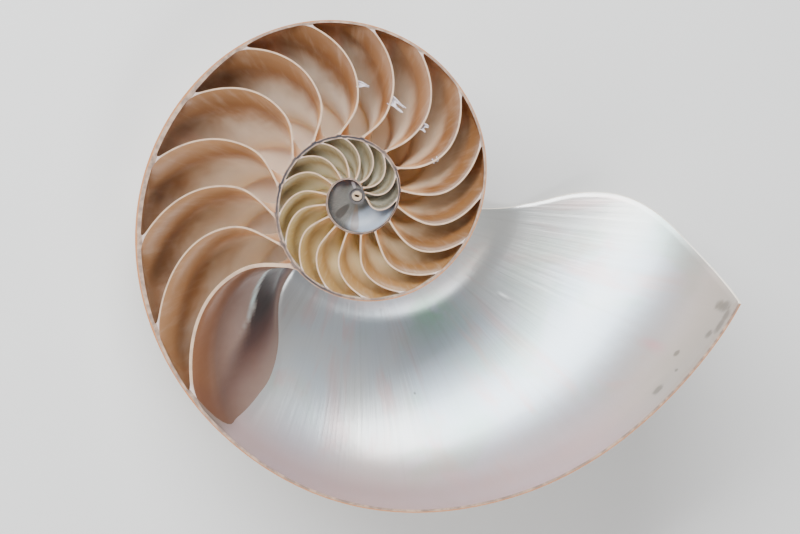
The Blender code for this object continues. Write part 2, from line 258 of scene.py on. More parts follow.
class Skin:
    # sheets of points with what each point says about itself, welded at the end
    def __init__(self):
        self.points, self.places, self.tones = [], [], []
        self.faces, self.slots = [], []
        self.count = 0

    def addPoints(self, points, place, tone):
        n = len(points)
        self.points.append(points)
        self.places.append(np.broadcast_to(place, (n, 3)))
        self.tones.append(np.broadcast_to(tone, (n, 3)))
        start = self.count
        self.count += n
        return start

    def addSheet(self, sheet, place, tone, kind):
        # four-sided faces between neighbouring rows and columns
        rows, columns = sheet.shape[:2]
        place = np.broadcast_to(place, (rows, columns, 3)).reshape(-1, 3)
        tone = np.broadcast_to(tone, (rows, columns, 3)).reshape(-1, 3)
        start = self.addPoints(sheet.reshape(-1, 3), place, tone)
        k = start + np.arange(rows * columns).reshape(rows, columns)
        quads = np.stack([k[:-1, :-1], k[:-1, 1:], k[1:, 1:], k[1:, :-1]], axis=-1).reshape(-1, 4)
        self.faces.append(quads)
        self.slots.append(np.full(len(quads), kinds[kind]))

    def zipLines(self, left, right, kind):
        # fills the band between two lines; a line is points, keys, places and tones
        a = self.addPoints(left[0], left[2], left[3])
        b = self.addPoints(right[0], right[2], right[3])
        order = np.argsort(np.concatenate([left[1][1:], right[1][1:]]), kind="stable")
        fromLeft = order < len(left[1]) - 1
        i = np.concatenate([[0], np.cumsum(fromLeft)])
        j = np.concatenate([[0], np.cumsum(~fromLeft)])
        third = np.where(fromLeft, a + i[1:], b + j[1:])
        triangles = np.stack([a + i[:-1], third, b + j[:-1], b + j[:-1]], axis=-1)
        self.faces.append(triangles)
        self.slots.append(np.full(len(triangles), kinds[kind]))


# rounded corner of the unit square, from its middle out along one side
def cornerHalf(count, radiusT, radiusS):
    angle = np.linspace(0.25 * math.pi, 0.0, count + 1)
    return radiusT * (1.0 - np.cos(angle)), radiusS * (1.0 - np.sin(angle))


# columns lie a little closer together towards the inner wall
columnPower = 1.15


# chamber outline in t (back to front) and s (inner to outer), one half corner at each end
def sideAcross(count, corner, radiusT, radiusS):
    off, along = cornerHalf(corner, radiusT, radiusS)
    middle = np.linspace(0.0, 1.0, count + 1)[1:-1]**columnPower
    middle = radiusS + (1.0 - 2.0 * radiusS) * middle
    s = np.concatenate([along, middle, 1.0 - along[::-1]])
    t = np.concatenate([off, 0.0 * middle, off[::-1]])
    return t, s


def sideAlong(count, corner, radiusT, radiusS):
    off, along = cornerHalf(corner, radiusS, radiusT)
    middle = np.linspace(0.0, 1.0, count + 1)[1:-1]
    middle = radiusT + (1.0 - 2.0 * radiusT) * middle
    t = np.concatenate([along, middle, 1.0 - along[::-1]])
    s = np.concatenate([off, 0.0 * middle, off[::-1]])
    return t, s


# mesh counts down, across, along and in a corner, by the first septum that they no longer serve
chamberMesh = [(12, (30, 36, 10, 3)), (20, (22, 26, 7, 3)), (28, (16, 20, 6, 2))]
chamberCorner = {"alongFirst": 60, "radiusFirst": 0.03, "radiusT": 0.1, "radiusS": 0.04}


def downRows(count):
    return np.linspace(0.0, 1.0, count + 1)


# skin of the hollow behind septum n, four sides that meet in the middle of rounded corners
def addChamber(skin, n):
    down, across, along, corner = next(counts for limit, counts in chamberMesh if n < limit)
    first = n == len(septa) - 1
    if first:
        along = chamberCorner["alongFirst"]
    radiusT = chamberCorner["radiusFirst" if first else "radiusT"]
    radiusS = chamberCorner["radiusS"]
    u = downRows(down)
    tAcross, sAcross = sideAcross(across, corner, radiusT, radiusS)
    tAlong, sAlong = sideAlong(along, corner, radiusT, radiusS)
    sides = {
        "back": (tAcross, sAcross, "septum", n + 1),
        "front": (1.0 - tAcross, sAcross, "chamber", n),
        "inner": (tAlong, sAlong, "chamber", n),
        "outer": (tAlong, 1.0 - sAlong, "chamber", n),
    }
    lines = {}
    for name, (t, s, kind, index) in sides.items():
        tGrid, uGrid = np.meshgrid(t, u, indexing="ij")
        sGrid = np.meshgrid(s, u, indexing="ij")[0]
        high = septumFace(n, -1.0, sGrid, uGrid)
        low = np.full_like(high, shape["firstChamber"]) if first else septumFace(n + 1, 1.0, sGrid, uGrid)
        a = low + (high - low) * tGrid
        r, z = hollowPoint(a, sGrid, uGrid)
        sheet = spin(a, r, z)
        place = np.stack([a / 360.0, sGrid, uGrid], axis=-1)
        tone = np.stack([0.0 * a + n, tGrid, 0.0 * a], axis=-1)
        skin.addSheet(sheet, place, tone, kind)
        keys = s if name in ("back", "front") else a[:, 0]
        lines[name] = (sheet[:, 0], keys, place[:, 0], np.array([n, 0.0, 0.0]))
    return lines


# rows between two lines of angles
def spread(low, high, t):
    return low[None, :] * (1.0 - t[:, None]) + high[None, :] * t[:, None]


bodyCounts = {"down": 44, "across": 44, "along": 96, "outside": 230, "hub": 8, "rim": 5, "corner": 4}
bodyCorner = {"radiusT": 0.022, "radiusS": 0.05, "rimBulge": 0.3, "rimRise": 12.0, "rimFade": 6}
# margin in front of the youngest septum: growth angle at the cut, its lean down the wall, soft edge
margin = {"angle": 957.0, "lean": 8.0, "soft": 5.0, "down": 0.1, "downSoft": 0.12}


# outside, lip and living chamber, closed at the back by the youngest septum
def addBody(skin):
    u = downRows(bodyCounts["down"])
    tip = shape["tipAngle"] + hermite(u, lipAt, lipAhead)
    radiusT, radiusS = bodyCorner["radiusT"], bodyCorner["radiusS"]
    tAcross, sAcross = sideAcross(bodyCounts["across"], bodyCounts["corner"], radiusT, radiusS)
    off, alongCorner = cornerHalf(bodyCounts["corner"], radiusS, radiusT)
    middle = np.linspace(0.0, 1.0, bodyCounts["along"] + 1)[1:]
    tAlong = np.concatenate([alongCorner, radiusT + (1.0 - radiusT) * middle])
    sAlong = np.concatenate([off, 0.0 * middle])
    sides = {"back": (tAcross, sAcross, "septum"), "inner": (tAlong, sAlong, "living"),
             "outer": (tAlong, 1.0 - sAlong, "living")}
    lines, sheets = {}, {}
    for name, (t, s, kind) in sides.items():
        tGrid, uGrid = np.meshgrid(t, u, indexing="ij")
        sGrid = np.meshgrid(s, u, indexing="ij")[0]
        low = septumFace(0, 1.0, sGrid, uGrid)
        a = low + (tip[None, :] - low) * tGrid
        r, z = hollowPoint(a, sGrid, uGrid)
        sheet = spin(a, r, z)
        place = np.stack([a / 360.0, sGrid, uGrid], axis=-1)
        # on the youngest septum: painted shade past the fold and a painted highlight along its edge
        dark, pale = foldShadeAndHighlight(sGrid, uGrid) if name == "back" else (0.0 * a, 0.0 * a)
        if name == "outer":
            ahead = (a - margin["angle"] - margin["lean"] * uGrid) / margin["soft"]
            below = (uGrid - margin["down"]) / margin["downSoft"]
            dark = (1.0 - smoothStep(ahead)) * (1.0 - smoothStep(below))
        tone = np.stack([0.0 * a - 1.0, pale, dark], axis=-1)
        skin.addSheet(sheet, place, tone, kind)
        keys = s if name == "back" else a[:, 0]
        lines[name] = (sheet[:, 0], keys, place[:, 0], np.array([-1.0, 0.0, 0.0]))
        sheets[name] = (sheet, a)
    outer = spread(tip - 360.0, tip, np.linspace(0.0, 1.0, bodyCounts["outside"] + 1))
    r, z = outsidePoint(outer, u[None, :])
    outside = spin(outer, r, z)
    outerPlace = np.stack([outer / 360.0, np.ones_like(outer), np.broadcast_to(u, outer.shape)], axis=-1)
    skin.addSheet(outside, outerPlace, np.array([-2.0, 0.0, 0.0]), "outside")
    # lip: a small rounded edge between the outside and the inner face
    q = np.linspace(0.0, 1.0, bodyCounts["rim"] + 1)[:, None, None]
    wallEnd = sheets["outer"][0][-1]
    edge = outside[-1] * (1.0 - q) + wallEnd * q
    forward = spin(tip + 90.0, np.ones_like(tip), np.zeros_like(tip))
    swell = np.minimum(u * bodyCorner["rimRise"], 1.0) * (1.0 - u**bodyCorner["rimFade"])
    bulge = bodyCorner["rimBulge"] * np.sin(math.pi * q) * swell[None, :, None]
    edge = edge + forward * bulge
    edgePlace = np.stack([np.broadcast_to(tip / 360.0, edge.shape[:2]),
                          np.broadcast_to(q[:, :, 0], edge.shape[:2]),
                          np.broadcast_to(u, edge.shape[:2])], axis=-1)
    skin.addSheet(edge, edgePlace, np.array([-3.0, 0.0, 0.0]), "lip")
    hubAngles = outer[:, -1]
    radii = float(seamRadius(shape["tipAngle"])) * np.linspace(1.0, 0.0, bodyCounts["hub"] + 1)
    hubA, hubR = np.meshgrid(hubAngles, radii, indexing="ij")
    hub = spin(hubA, hubR, -outsideDepth(hubR, hubA))
    hubPlace = np.stack([hubA / 360.0, np.ones_like(hubA), 1.0 + 0.0 * hubA], axis=-1)
    skin.addSheet(hub, hubPlace, np.array([-2.0, 1.0, 0.0]), "outside")
    closing = hub[-1] * (1.0 - q) + hub[0] * q
    skin.addSheet(closing, np.array([1.0, 1.0, 1.0]), np.array([-2.0, 1.0, 0.0]), "outside")
    inner = lines["inner"]
    rimKeys = outer[-1, 0] + 0.01 * np.arange(1, bodyCounts["rim"])
    keelLine = (np.concatenate([inner[0][:-1], outside[:, 0], edge[1:-1, 0]]),
                np.concatenate([inner[1][:-1] - 360.0, outer[:, 0], rimKeys]),
                np.concatenate([inner[2][:-1], outerPlace[:, 0], edgePlace[1:-1, 0]]))
    return lines["back"], lines["outer"], keelLine


def joinLines(parts, shiftKeys=0.0):
    points = np.concatenate([p[0] for p in parts])
    keys = np.concatenate([p[1] for p in parts]) + shiftKeys
    places = np.concatenate([p[2] for p in parts])
    return points, keys, places


# sawn face: the spiral band of the wall, a strip for each septum, and the nucleus
def addCutFace(skin, chambers, body):
    bodyBack, bodyOuter, keel = body
    oldest = chambers[::-1]
    innerLine = joinLines([c["outer"] for c in oldest] + [bodyOuter])
    older = joinLines([c["inner"] for c in oldest[1:]], -360.0)
    outerLine = tuple(np.concatenate([older[k], keel[k]]) for k in range(3))
    start = int(np.argmin(np.abs(outerLine[1] - shape["firstChamber"])))
    band = [np.stack([line[1] / 360.0, np.full(len(line[1]), flag), np.zeros(len(line[1]))], axis=-1)
            for line, flag in ((innerLine, 0.0), (outerLine, 1.0))]
    skin.zipLines((innerLine[0], innerLine[1], band[0], np.array([-4.0, 0.0, 0.0])),
                  (outerLine[0][start:], outerLine[1][start:], band[1][start:], np.array([-4.0, 0.0, 0.0])),
                  "cut")
    for n in range(len(septa)):
        behind = chambers[n]["front"]
        ahead = bodyBack if n == 0 else chambers[n - 1]["back"]
        strips = []
        for side, edge in ((0.0, behind), (1.0, ahead)):
            place = np.stack([edge[2][:, 0], edge[2][:, 1], np.full(len(edge[1]), side)], axis=-1)
            strips.append((edge[0], edge[1], place, np.array([n, 1.0, 0.0])))
        skin.zipLines(strips[0], strips[1], "cut")
    ring = np.concatenate([outerLine[0][:start + 1], oldest[0]["back"][0][::-1], oldest[0]["inner"][0][1:]])
    addNucleus(skin, ring)


nucleusLook = {"rings": 26, "around": 48, "widest": 2.05, "pitDepth": 1.3, "pitLong": 0.62, "pitWide": 0.26,
               "pitTurn": -12.0, "ringAt": 1.35, "groove": 0.4, "slitFrom": 0.35, "slitOver": 0.4}


# the sawn nucleus: circles that shrink to a point inside the edge line, the middle pressed in to a
# small slit and a shallow groove left round its ring
def addNucleus(skin, ring):
    ringAngle = np.unwrap(np.arctan2(ring[:, 1], ring[:, 0]))
    way = np.sign(ringAngle[-1] - ringAngle[0])
    steps = np.linspace(0.0, 2.0 * math.pi, nucleusLook["around"] + 1)
    angle = ringAngle[0] + way * steps
    radii = nucleusLook["widest"] * np.linspace(1.0, 0.0, nucleusLook["rings"])[:, None]
    x, y = radii * np.cos(angle), radii * np.sin(angle)
    turn = math.radians(nucleusLook["pitTurn"])
    long = (x * math.cos(turn) + y * math.sin(turn)) / nucleusLook["pitLong"]
    wide = (y * math.cos(turn) - x * math.sin(turn)) / nucleusLook["pitWide"]
    pit = np.exp(-long**4 - wide**4)
    room = nucleusLook["widest"] - nucleusLook["ringAt"]
    outward = np.clip((radii - nucleusLook["ringAt"]) / room, 0.0, 1.0)
    z = -nucleusLook["pitDepth"] * pit - nucleusLook["groove"] * np.sin(math.pi * outward)
    circles = np.stack([x, y, z], axis=-1)
    place = np.stack([0.0 * x, radii + 0.0 * x, 0.0 * x], axis=-1)
    # the slit in the pit is painted black: painted shade
    pitPaintedShade = smoothStep((pit - nucleusLook["slitFrom"]) / nucleusLook["slitOver"])
    tone = np.stack([0.0 * x - 5.0, 0.0 * x, pitPaintedShade], axis=-1)
    skin.addSheet(circles, place, tone, "core")
    edge = np.concatenate([ring, ring[:1]])
    edgeKeys = np.maximum.accumulate(np.append(way * (ringAngle - ringAngle[0]), 2.0 * math.pi))
    edgePlace = np.array([0.0, shape["nucleus"], 0.0])
    skin.zipLines((edge, edgeKeys, edgePlace, tone[0, 0]), (circles[0], steps, place[0], tone[0, 0]), "core")


# turn from the level cut face to the resting pose
turnMatrix = (Matrix.Rotation(math.radians(pose["tiltX"]), 3, "X")
              @ Matrix.Rotation(math.radians(pose["tiltY"]), 3, "Y"))
turnArray = np.array(turnMatrix)
shiftArray = np.array(pose["shift"])


def toRow(points):
    return (points @ turnArray.T + shiftArray) * 0.001


weld = {"distance": 0.000002, "shortest": 0.000001, "sharpDegrees": 50.0}


# one closed mesh from the sheets, with place and tone on every face corner
def meshFrom(name, skin):
    mesh = bpy.data.meshes.new(name)
    points = toRow(np.concatenate(skin.points))
    corners = [f if f[2] != f[3] else f[:3] for f in np.concatenate(skin.faces).tolist()]
    mesh.from_pydata(points.tolist(), [], corners)
    corner = np.zeros(len(mesh.loops), np.int32)
    mesh.loops.foreach_get("vertex_index", corner)
    for label, data in (("place", skin.places), ("tone", skin.tones)):
        values = np.concatenate(data)[corner]
        layer = mesh.attributes.new(label, "FLOAT_VECTOR", "CORNER")
        layer.data.foreach_set("vector", values.astype(np.float32).ravel())
    mesh.polygons.foreach_set("material_index", np.concatenate(skin.slots).astype(np.int32))
    work = bmesh.new()
    work.from_mesh(mesh)
    bmesh.ops.remove_doubles(work, verts=work.verts, dist=weld["distance"])
    bmesh.ops.dissolve_degenerate(work, edges=work.edges, dist=weld["shortest"])
    bmesh.ops.recalc_face_normals(work, faces=work.faces)
    openEdges = sum(1 for e in work.edges if len(e.link_faces) != 2)
    triangles = sum(len(f.verts) - 2 for f in work.faces)
    print("stage", name, "triangles", triangles, "open edges", openEdges)
    work.to_mesh(mesh)
    work.free()
    mesh.polygons.foreach_set("use_smooth", np.ones(len(mesh.polygons), bool))
    mesh.set_sharp_from_angle(angle=math.radians(weld["sharpDegrees"]))
    return mesh


# Materials: colours are written as seen on a screen, 0 to 255, and turned into linear light
def tint(red, green, blue):
    values = [c / 255.0 for c in (red, green, blue)]
    return tuple(c / 12.92 if c <= 0.04045 else ((c + 0.055) / 1.055)**2.4 for c in values) + (1.0,)


class Nodes:
    # short names for the nodes of one material
    def __init__(self, name):
        self.material = bpy.data.materials.new(name)
        self.material.use_nodes = True
        self.tree = self.material.node_tree
        self.shader = self.tree.nodes["Principled BSDF"]

    def put(self, socket, value):
        if isinstance(value, bpy.types.NodeSocket):
            self.tree.links.new(value, socket)
        else:
            socket.default_value = value

    def math(self, operation, first, second=0.0):
        node = self.tree.nodes.new("ShaderNodeMath")
        node.operation = operation
        self.put(node.inputs[0], first)
        self.put(node.inputs[1], second)
        return node.outputs[0]

    def times(self, first, second):
        return self.math("MULTIPLY", first, second)

    def plus(self, first, second):
        return self.math("ADD", first, second)

    def minus(self, first, second):
        return self.math("SUBTRACT", first, second)

    def attribute(self, name):
        node = self.tree.nodes.new("ShaderNodeAttribute")
        node.attribute_name = name
        split = self.tree.nodes.new("ShaderNodeSeparateXYZ")
        self.tree.links.new(node.outputs["Vector"], split.inputs[0])
        return split.outputs[0], split.outputs[1], split.outputs[2]

    def vector(self, x, y, z):
        node = self.tree.nodes.new("ShaderNodeCombineXYZ")
        for i, value in enumerate((x, y, z)):
            self.put(node.inputs[i], value)
        return node.outputs[0]

    def objectPlace(self):
        return self.tree.nodes.new("ShaderNodeTexCoord").outputs["Object"]

    def noise(self, place, scale, detail=3.0, rough=0.55, warp=0.0):
        node = self.tree.nodes.new("ShaderNodeTexNoise")
        self.put(node.inputs["Vector"], place)
        for name, value in (("Scale", scale), ("Detail", detail), ("Roughness", rough), ("Distortion", warp)):
            self.put(node.inputs[name], value)
        return node.outputs["Fac"]

    # 0 below low, 1 above high, smooth between
    def step(self, value, low, high):
        node = self.tree.nodes.new("ShaderNodeMapRange")
        node.interpolation_type = "SMOOTHSTEP"
        for i, part in enumerate((value, low, high, 0.0, 1.0)):
            self.put(node.inputs[i], part)
        return node.outputs[0]

    # 1 at the middle, falling smoothly to 0 at that width either side
    def bump(self, value, middle, width):
        away = self.math("ABSOLUTE", self.minus(value, middle))
        return self.minus(1.0, self.step(away, 0.0, width))

    def mix(self, share, first, second):
        node = self.tree.nodes.new("ShaderNodeMix")
        node.data_type = "RGBA"
        self.put(node.inputs[0], share)
        self.put(node.inputs[6], first)
        self.put(node.inputs[7], second)
        return node.outputs[2]

    def ramp(self, value, stops):
        node = self.tree.nodes.new("ShaderNodeValToRGB")
        self.put(node.inputs[0], value)
        elements = node.color_ramp.elements
        while len(elements) < len(stops):
            elements.new(0.5)
        for element, (place, color) in zip(elements, stops):
            element.position = place
            element.color = color
        return node.outputs[0]

    def relief(self, height, strength, distance):
        node = self.tree.nodes.new("ShaderNodeBump")
        self.put(node.inputs["Height"], height)
        node.inputs["Strength"].default_value = strength
        node.inputs["Distance"].default_value = distance
        self.tree.links.new(node.outputs[0], self.shader.inputs["Normal"])

    def finish(self, color, rough, specular=0.5, coat=0.0):
        self.put(self.shader.inputs["Base Color"], color)
        self.put(self.shader.inputs["Roughness"], rough)
        self.shader.inputs["Specular IOR Level"].default_value = specular
        self.shader.inputs["Coat Weight"].default_value = coat
        return self.material


chamberLook = {
    # tone near the cut and deep down, from the youngest chamber (0) to the oldest (1); deep down it is partly
    # painted light that lifts the shade in the hollows
    "tones": [(0.0, (144, 104, 72)), (0.25, (112, 72, 42)), (0.42, (116, 80, 48)),
              (0.5, (146, 108, 66)), (0.64, (160, 132, 84)), (0.72, (140, 118, 84)),
              (0.82, (114, 100, 74)), (0.93, (108, 98, 76)), (1.0, (70, 70, 70))],
    "deepTonesAndPaintedLight": [(0.0, (240, 222, 204)), (0.2, (230, 208, 188)), (0.32, (216, 190, 164)),
                  (0.42, (204, 178, 146)), (0.55, (228, 204, 160)), (0.7, (218, 204, 172)),
                  (0.85, (196, 186, 162)), (0.96, (158, 152, 136)), (1.0, (102, 100, 96))],
    "rose": (104, 68, 48),
    "roseGrey": (128, 106, 98),
    "foldPaintedShade": (18, 8, 5),
    "foldPaintedShadeLow": (84, 52, 46),
    "foldPaintedHighlight": (190, 214, 214),
    "cornerPaintedLight": (196, 200, 192),
    "behind": (255, 230, 200),
    "peach": (238, 186, 138),
    "brown": (214, 146, 82),
    "streak": (240, 220, 200),
    "cloud": (196, 150, 116),
    "glow": 0.35,
    "glowColor": (1.0, 0.7, 0.45),
    "glowReach": 0.003,
    "mottleScale": 60.0,
    # marks in the first chamber: colour, growth angle and its reach, depth and its reach, share
    "firstMarks": [((52, 42, 48), 118.0, 60.0, 0.12, 0.62, 0.85),
                   ((176, 188, 206), 300.0, 66.0, 0.4, 0.5, 0.6),
                   ((56, 50, 46), 225.0, 15.0, 0.55, 0.34, 0.75),
                   ((118, 98, 80), 265.0, 13.0, 0.55, 0.6, 0.6),
                   ((176, 166, 168), 106.0, 11.0, 0.55, 0.4, 0.7)],
    "grainScale": 420.0,
}


# chamber walls and septum faces: tan near the cut, paler lilac where they are deep (partly their own colour,
# partly painted light against the shade in the hollows), peach near the inner wall, with soft mottling and
# fine growth lines
def chamberMaterial(name, facing):
    m = Nodes(name)
    growth, across, deep = m.attribute("place")
    index, along, flag = m.attribute("tone")
    place = m.objectPlace()
    share = m.math("DIVIDE", index, len(septa) - 1.0)
    tan = m.ramp(share, [(p, tint(*c)) for p, c in chamberLook["tones"]])
    pale = m.ramp(share, [(p, tint(*c)) for p, c in chamberLook["deepTonesAndPaintedLight"]])
    mottle = m.noise(place, chamberLook["mottleScale"], 3.0, 0.6, 0.4)
    # paler deep down: partly the wall's own lilac, partly painted light against the shade in the hollows
    band = m.step(m.plus(deep, m.times(m.minus(mottle, 0.5), 0.4)), 0.1, 0.5)
    color = m.mix(m.times(band, 0.95), tan, pale)
    inner = m.minus(1.0, m.step(across, 0.02, 0.4))
    color = m.mix(m.times(inner, 0.55), color, tint(*chamberLook["peach"]))
    rootBrown = m.times(m.bump(share, 0.42, 0.3), m.minus(1.0, m.step(across, 0.0, 0.25)))
    color = m.mix(m.times(rootBrown, 0.65), color, tint(*chamberLook["brown"]))
    streak = m.noise(m.vector(m.times(growth, 60.0), across, m.times(deep, 2.0)), 3.0, 4.0)
    color = m.mix(m.times(m.step(streak, 0.45, 0.75), 0.08), color, tint(*chamberLook["streak"]))
    cloud = m.noise(place, 24.0, 2.0)
    color = m.mix(m.times(m.step(cloud, 0.5, 0.75), 0.25), color, tint(*chamberLook["cloud"]))
    if not facing:
        # painted light: the shaded outer corner of each older chamber painted pale
        corner = m.times(m.step(m.plus(across, m.times(mottle, 0.2)), 0.85, 1.05),
                        m.step(along, 0.15, 0.55))
        older = m.times(m.step(share, 0.35, 0.55), m.minus(1.0, m.step(share, 0.96, 0.99)))
        color = m.mix(m.times(m.times(corner, older), 0.8), color,
                      tint(*chamberLook["cornerPaintedLight"]))
        # painted light: the shaded side behind each septum painted pale, from the top of the coil to the
        # right
        turned = m.times(m.step(share, 0.22, 0.36), m.minus(1.0, m.step(share, 0.56, 0.66)))
        behind = m.times(m.step(along, 0.6, 1.0), m.times(turned, 0.6))
        color = m.mix(behind, color, tint(*chamberLook["behind"]))
        first = m.step(index, 26.4, 26.6)
        degrees = m.times(growth, 360.0)
        bent = m.plus(deep, m.times(m.minus(mottle, 0.5), 0.2))
        for mark, middle, reach, depth, drop, amount in chamberLook["firstMarks"]:
            inside = m.times(m.bump(degrees, middle, reach), m.bump(bent, depth, drop))
            inside = m.times(m.step(inside, 0.05, 0.4), m.times(first, amount))
            color = m.mix(inside, color, tint(*mark))
    if facing:
        youngest = m.minus(1.0, m.step(index, -0.6, -0.4))
        rose = m.mix(m.step(deep, 0.02, 0.3), tint(*chamberLook["rose"]), tint(*chamberLook["roseGrey"]))
        color = m.mix(m.times(youngest, 0.85), color, rose)
        # painted shade past the fold on the youngest septum: near black above, rose brown lower down
        shade = m.times(youngest, flag)
        lower = m.step(m.plus(across, m.times(mottle, 0.2)), 0.75, 1.05)
        foldShadeColor = m.mix(lower, tint(*chamberLook["foldPaintedShade"]), tint(*chamberLook["foldPaintedShadeLow"]))
        color = m.mix(m.times(shade, 0.95), color, foldShadeColor)
        # painted highlight: a pale cyan line along the fold's edge on the youngest septum
        color = m.mix(m.times(youngest, along), color, tint(*chamberLook["foldPaintedHighlight"]))
    grain = m.noise(place, chamberLook["grainScale"], 2.0)
    m.relief(m.plus(grain, m.times(streak, 0.6)), 0.12, 0.0004)
    rough = m.plus(0.3, m.times(mottle, 0.14))
    m.shader.inputs["Subsurface Weight"].default_value = chamberLook["glow"]
    m.shader.inputs["Subsurface Radius"].default_value = chamberLook["glowColor"]
    m.shader.inputs["Subsurface Scale"].default_value = chamberLook["glowReach"]
    return m.finish(color, rough, 0.35, 0.05)


livingLook = {
    "metal": 0.55,
    "white": (206, 206, 203), "blue": (182, 196, 208), "pink": (208, 172, 170), "green": (140, 190, 158),
    "grey": (146, 142, 136), "margin": (140, 120, 106), "lipGreyPaintedReflection": (182, 178, 164), "stain": (96, 88, 74),
    "spot": (70, 68, 66), "scar": (232, 234, 236),
    # places: growth angle in degrees and its reach, depth down the wall and its reach
    "greenAt": (1022.0, 16.0, 0.69, 0.1), "spotAt": (1006.0, 0.5, 0.5, 0.006),
    "scarAt": (1046.2, 1.0, 0.61, 0.022),
    "blush": (204, 160, 164), "blushAt": (1053.6, 1.6, 0.25, 0.06),
    "stainsAt": [(1063.4, 2.0, 0.1, 0.085), (1062.2, 2.2, 0.05, 0.05), (1060.4, 2.8, 0.052, 0.045),
                 (1058.6, 1.6, 0.085, 0.034), (1054.0, 1.2, 0.162, 0.02), (1051.5, 0.7, 0.108, 0.02),
                 (1047.4, 2.2, 0.108, 0.034)],
}


# living chamber: white nacre with blue, pink and green sheen, growth lines and grey margins, the grey and
# pink near the keel partly a painted dark reflection
def livingMaterial():
    m = Nodes("living")
    growth, across, deep = m.attribute("place")
    index, along, flag = m.attribute("tone")
    place = m.objectPlace()
    degrees = m.times(growth, 360.0)

    # 1 at one place on the wall, 0 past its reach in angle or height
    def spotAt(values):
        angle, reach, height, drop = values
        return m.times(m.bump(degrees, angle, reach), m.bump(deep, height, drop))

    cloud = m.noise(place, 18.0, 3.0, 0.55, 0.3)
    color = m.mix(m.step(cloud, 0.35, 0.65), tint(*livingLook["white"]), tint(*livingLook["blue"]))
    waves = m.noise(m.vector(m.times(growth, 22.0), m.times(deep, 1.6), 0.0), 2.0, 3.0, 0.6, 0.6)
    color = m.mix(m.times(m.step(waves, 0.5, 0.7), 0.5), color, tint(*livingLook["pink"]))
    green = m.noise(place, 46.0, 2.0, 0.5, 0.8)
    greenShare = m.times(m.step(green, 0.5, 0.68), m.minus(1.0, m.step(deep, 0.3, 0.9)))
    color = m.mix(m.times(greenShare, 0.3), color, tint(*livingLook["green"]))
    sheen = m.times(spotAt(livingLook["greenAt"]), m.step(m.noise(place, 120.0, 3.0, 0.6), 0.35, 0.6))
    color = m.mix(m.times(sheen, 0.7), color, tint(*livingLook["green"]))
    fine = m.noise(m.vector(m.times(growth, 260.0), m.times(deep, 2.0), 0.0), 1.0, 3.0)
    color = m.mix(m.times(m.step(fine, 0.5, 0.8), 0.16), color, tint(*livingLook["grey"]))
    # pink towards the keel, warm grey and stained near the lip; the pink and grey are partly nacre colour,
    # partly a painted dark reflection on the steep wall
    rim = m.minus(1.0, m.step(deep, 0.12, 0.4))
    color = m.mix(m.times(rim, 0.85), color, tint(*livingLook["pink"]))
    nearLip = m.times(m.step(degrees, 1030.0, 1052.0), rim)
    color = m.mix(m.times(nearLip, 0.7), color, tint(*livingLook["lipGreyPaintedReflection"]))
    blots = m.noise(m.vector(m.times(growth, 90.0), m.times(deep, 26.0), 0.0), 1.6, 4.0, 0.65)
    stained = spotAt(livingLook["stainsAt"][0])
    for values in livingLook["stainsAt"][1:]:
        stained = m.math("MAXIMUM", stained, spotAt(values))
    stained = m.step(m.plus(stained, m.times(m.minus(blots, 0.5), 1.1)), 0.3, 0.9)
    color = m.mix(m.times(stained, 0.65), color, tint(*livingLook["stain"]))
    blush = m.times(spotAt(livingLook["blushAt"]), 0.8)
    color = m.mix(blush, color, tint(*livingLook["blush"]))
    color = m.mix(m.times(spotAt(livingLook["spotAt"]), 0.8), color, tint(*livingLook["spot"]))
    color = m.mix(m.times(spotAt(livingLook["scarAt"]), 0.9), color, tint(*livingLook["scar"]))
    # the margin in front of the youngest septum
    color = m.mix(m.times(flag, 0.9), color, tint(*livingLook["margin"]))
    height = m.plus(fine, m.times(waves, 1.4))
    height = m.plus(height, m.times(spotAt(livingLook["scarAt"]), 1.5))
    m.relief(height, 0.1, 0.0006)
    rough = m.plus(0.24, m.times(cloud, 0.16))
    m.shader.inputs["Metallic"].default_value = livingLook["metal"]
    return m.finish(color, rough, 0.9, 0.25)


cutLook = {
    "cream": (206, 176, 148), "lilac": (134, 114, 104), "orange": (186, 126, 80), "film": (36, 40, 50),
    "pinkish": (186, 158, 138), "core": (180, 158, 134), "coreEdge": (88, 84, 84), "pitPaintedShade": (18, 14, 12),
    "knot": (206, 194, 196),
}


